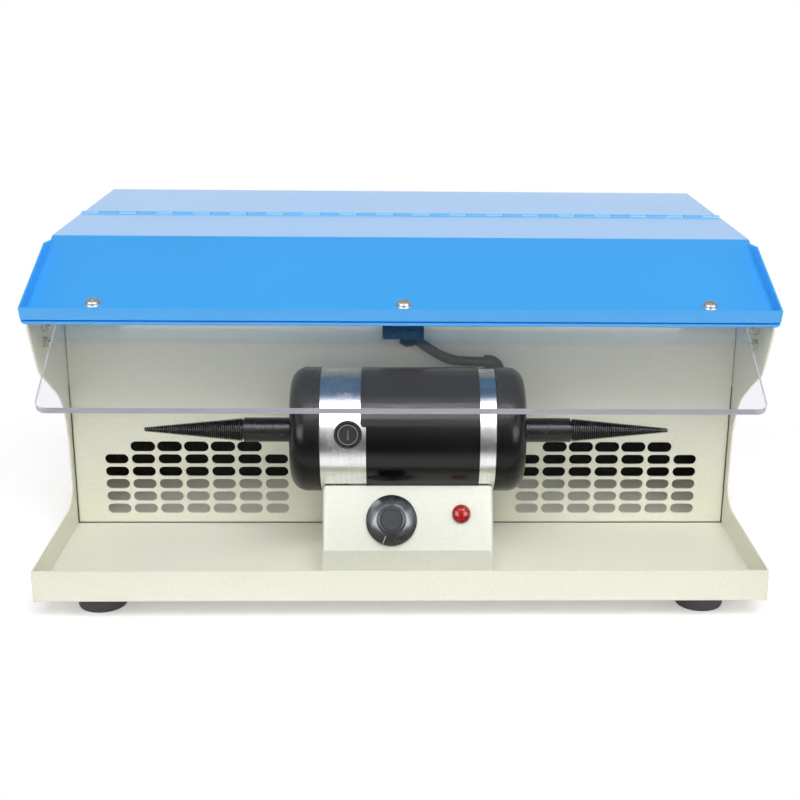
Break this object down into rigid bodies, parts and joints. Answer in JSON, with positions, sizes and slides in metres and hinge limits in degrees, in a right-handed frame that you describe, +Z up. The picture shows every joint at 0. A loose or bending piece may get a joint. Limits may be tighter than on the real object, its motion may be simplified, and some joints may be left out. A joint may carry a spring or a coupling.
{
  "type": "dental polishing lathe",
  "caption": "Bench-top dental polishing lathe: open-front cabinet with flip-up hood, clear splash shield, double-ended motor on a control box, filter and fan behind a slotted baffle.",
  "frame": {"origin": "bottom centre of the whole machine's box, on the plane that the feet stand on", "axes": "+X to the right along the motor's axis, as seen from the open front; +Y to the back; +Z up"},
  "size_m": [0.4708, 0.3642, 0.2218],
  "materials": {
    "cream_paint": "satin, fine texture",
    "blue_paint": "semi-gloss",
    "clear_sheet": "clear, polished",
    "zinc_steel": "zinc plated",
    "hinge_steel": "bright",
    "dark_rubber": "matte",
    "black_plastic": "satin",
    "black_gloss": "semi-gloss",
    "red_lens": "glossy, translucent",
    "green_board": "satin",
    "brass": "satin",
    "brushed_tube": "brushed along the axis",
    "dark_iron": "satin",
    "carbon": "matte",
    "copper": "satin",
    "spindle_steel": "black oxide, turned",
    "black_foam": "matte, open cells",
    "chrome_wire": "bright"
  },
  "bodies": {
    "cabinet": {"base_tray": "cream_paint", "side_panel_left": "cream_paint", "side_panel_right": "cream_paint", "baffle_panel": "cream_paint", "rear_panel": "cream_paint", "hood_cover": "blue_paint", "hinge_leaf_rear": "blue_paint", "hinge_pin": "hinge_steel", "cover_bolts": "zinc_steel", "cover_nuts": "zinc_steel", "rubber_feet": "dark_rubber", "foot_screws": "zinc_steel", "control_box": "cream_paint", "motor_pedestal": "cream_paint", "base_screws": "zinc_steel", "speed_potentiometer": "zinc_steel", "potentiometer_nut": "zinc_steel", "lamp_body": "black_plastic", "lamp_lens": "red_lens", "control_board": "green_board", "board_standoffs": "brass", "motor_housing": "brushed_tube", "motor_end_cap_left": "black_plastic", "motor_end_cap_right": "black_plastic", "motor_sleeve": "black_gloss", "motor_magnets": "dark_iron", "motor_bearings": "hinge_steel", "brush_holders": "black_plastic", "brush_caps": "black_plastic", "carbon_brushes": "carbon", "gland_block": "black_plastic", "gland_nut": "black_plastic", "motor_lead": "dark_rubber", "lead_boot": "dark_rubber", "filter_frame": "black_plastic", "filter_foam": "black_foam", "fan_housing": "black_plastic", "fan_coil": "copper", "fan_guard": "chrome_wire", "fan_screws": "zinc_steel", "power_inlet": "black_plastic", "inlet_pins": "brass", "inlet_screws": "zinc_steel"},
    "lid": {"lid_panel": "blue_paint", "lid_bar": "blue_paint", "hinge_leaf_lid": "blue_paint", "splash_shield": "clear_sheet", "shield_screws": "zinc_steel", "shield_washers": "zinc_steel", "shield_nuts": "zinc_steel"},
    "rotor": {"rotor_shaft": "hinge_steel", "armature_core": "dark_iron", "armature_windings": "copper", "commutator": "copper", "spindle_left": "spindle_steel", "spindle_right": "spindle_steel", "grub_screws": "dark_iron"},
    "knob": {"speed_knob": "black_plastic", "knob_shaft": "zinc_steel"},
    "fan": {"fan_impeller": "black_plastic"}
  },
  "joints": [
    {"name": "lid_hinge", "type": "hinge", "parent": "cabinet", "child": "lid", "pos_m": [0, 0.06347, 0.2196], "axis": [-1, 0, 0], "range_deg": [0, 135]},
    {"name": "rotor_spin", "type": "hinge", "parent": "cabinet", "child": "rotor", "pos_m": [0.003, -0.07803, 0.1018], "axis": [1, 0, 0], "continuous": true},
    {"name": "knob_turn", "type": "hinge", "parent": "cabinet", "child": "knob", "pos_m": [-0.0075, -0.11572, 0.05276], "axis": [0, 0.9154, -0.4026], "range_deg": [0, 300]},
    {"name": "fan_spin", "type": "hinge", "parent": "cabinet", "child": "fan", "pos_m": [0, 0.17587, 0.118], "axis": [0, 1, 0], "continuous": true}
  ]
}
